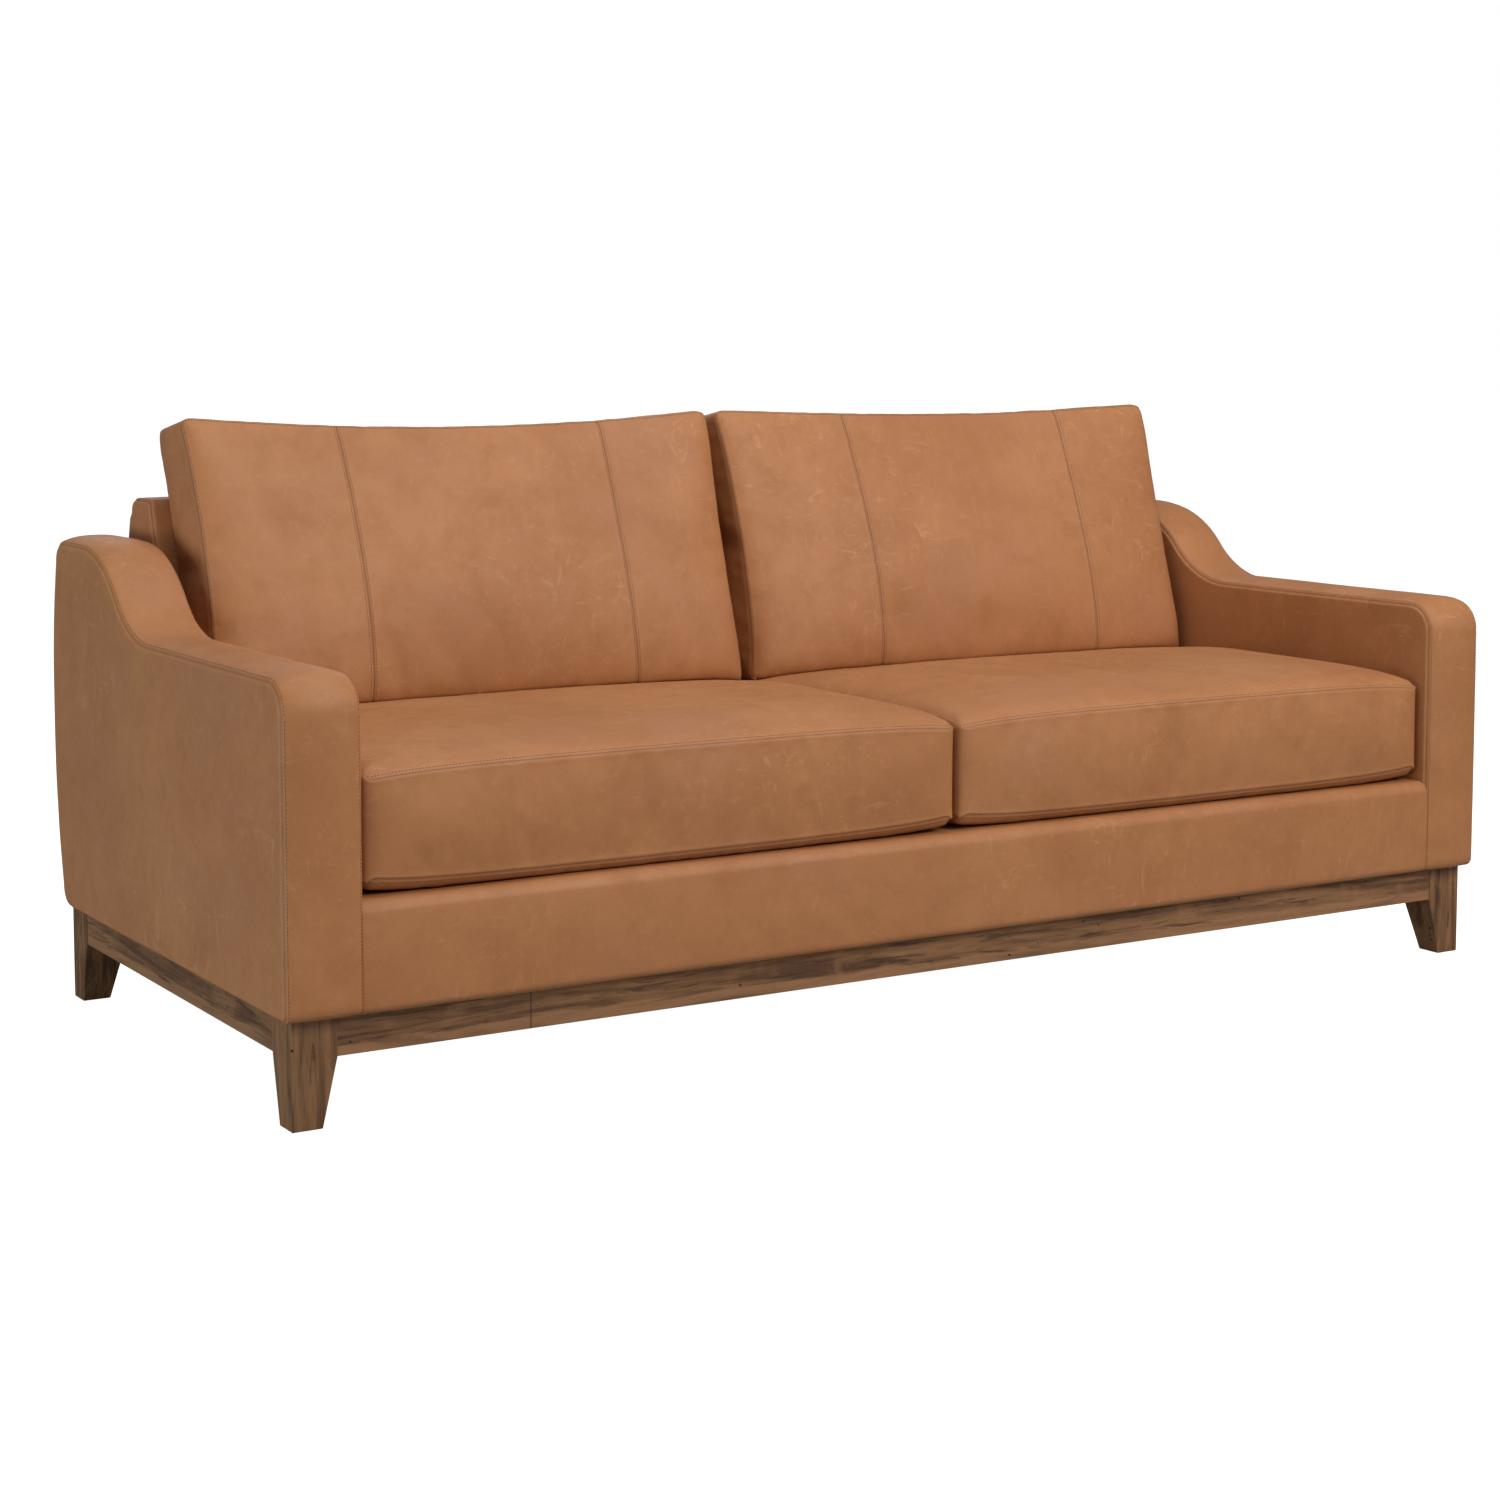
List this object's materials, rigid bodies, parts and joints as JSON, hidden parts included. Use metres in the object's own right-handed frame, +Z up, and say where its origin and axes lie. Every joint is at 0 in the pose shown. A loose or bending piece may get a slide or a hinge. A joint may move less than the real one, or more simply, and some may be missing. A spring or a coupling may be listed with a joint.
{
  "type": "sofa",
  "caption": "Leather sofa with sloping arms, loose box seat and back cushions, and a wooden base on tapered legs.",
  "frame": {"origin": "on the floor, under the middle of the sofa's outer box", "axes": "+X along the seat towards the viewer's right when the sofa is seen from the front, +Y from the front to the back, +Z up"},
  "size_m": [2.16, 0.96, 0.9251],
  "materials": {
    "base_wood": "matte",
    "frame_timber": "matte",
    "plywood": "matte",
    "screw_steel": "satin",
    "glide_nylon": "matte",
    "spring_steel": "satin",
    "foam": "matte",
    "leather": "satin",
    "deck_fabric": "matte",
    "dust_fabric": "matte",
    "webbing": "matte",
    "zip_brass": "satin"
  },
  "bodies": {
    "sofa_frame": {"arm_band_left": "leather", "arm_band_right": "leather", "arm_inner_board_left": "plywood", "arm_inner_board_right": "plywood", "arm_inner_cover_left": "leather", "arm_inner_cover_right": "leather", "arm_outer_board_left": "plywood", "arm_outer_board_right": "plywood", "arm_outer_cover_left": "leather", "arm_outer_cover_right": "leather", "arm_padding_left": "foam", "arm_padding_right": "foam", "arm_posts_left": "frame_timber", "arm_posts_right": "frame_timber", "back_bottom_rail": "frame_timber", "back_padding": "foam", "back_side_covers": "leather", "back_stiles": "frame_timber", "back_top_band": "leather", "back_top_rail": "frame_timber", "back_webbing": "webbing", "base_corner_blocks": "frame_timber", "base_cross_braces": "frame_timber", "base_rail_front": "base_wood", "base_rail_left": "base_wood", "base_rail_rear": "base_wood", "base_rail_right": "base_wood", "corner_block_screws": "screw_steel", "deck_cloth": "deck_fabric", "deck_pad": "foam", "dust_cover": "dust_fabric", "floor_glides": "glide_nylon", "frame_bolts": "screw_steel", "front_border_cover": "leather", "front_border_padding": "foam", "inside_back_cover": "leather", "leg_front_left": "base_wood", "leg_front_right": "base_wood", "leg_rear_left": "base_wood", "leg_rear_right": "base_wood", "outside_back_cover": "leather", "seat_centre_stretcher": "frame_timber", "seat_end_rails": "frame_timber", "seat_rail_front": "frame_timber", "seat_rail_rear": "frame_timber", "seat_springs": "spring_steel", "spring_clips": "spring_steel", "spring_tie_wires": "spring_steel"},
    "seat_cushion_left": {"seat_cushion_core_left": "foam", "seat_cushion_cover_left": "leather"},
    "seat_zip_left": {"seat_cushion_zip_slider_left": "zip_brass"},
    "seat_cushion_right": {"seat_cushion_core_right": "foam", "seat_cushion_cover_right": "leather"},
    "seat_zip_right": {"seat_cushion_zip_slider_right": "zip_brass"},
    "back_cushion_left": {"back_cushion_core_left": "foam", "back_cushion_cover_left": "leather"},
    "back_zip_left": {"back_cushion_zip_slider_left": "zip_brass"},
    "back_cushion_right": {"back_cushion_core_right": "foam", "back_cushion_cover_right": "leather"},
    "back_zip_right": {"back_cushion_zip_slider_right": "zip_brass"}
  },
  "joints": [
    {"name": "seat_cushion_left_slide", "type": "slide", "parent": "sofa_frame", "child": "seat_cushion_left", "axis": [0, -1, 0], "range_m": [0, 0.5]},
    {"name": "seat_cushion_right_slide", "type": "slide", "parent": "sofa_frame", "child": "seat_cushion_right", "axis": [0, -1, 0], "range_m": [0, 0.5]},
    {"name": "back_cushion_left_lift", "type": "slide", "parent": "sofa_frame", "child": "back_cushion_left", "axis": [0, 0, 1], "range_m": [0, 0.5]},
    {"name": "back_cushion_right_lift", "type": "slide", "parent": "sofa_frame", "child": "back_cushion_right", "axis": [0, 0, 1], "range_m": [0, 0.5]},
    {"name": "seat_zip_left_slide", "type": "slide", "parent": "seat_cushion_left", "child": "seat_zip_left", "axis": [-1, 0, 0], "range_m": [0, 0.8]},
    {"name": "seat_zip_right_slide", "type": "slide", "parent": "seat_cushion_right", "child": "seat_zip_right", "axis": [1, 0, 0], "range_m": [0, 0.8]},
    {"name": "back_zip_left_slide", "type": "slide", "parent": "back_cushion_left", "child": "back_zip_left", "axis": [-1, 0, 0], "range_m": [0, 0.8]},
    {"name": "back_zip_right_slide", "type": "slide", "parent": "back_cushion_right", "child": "back_zip_right", "axis": [1, 0, 0], "range_m": [0, 0.8]}
  ]
}
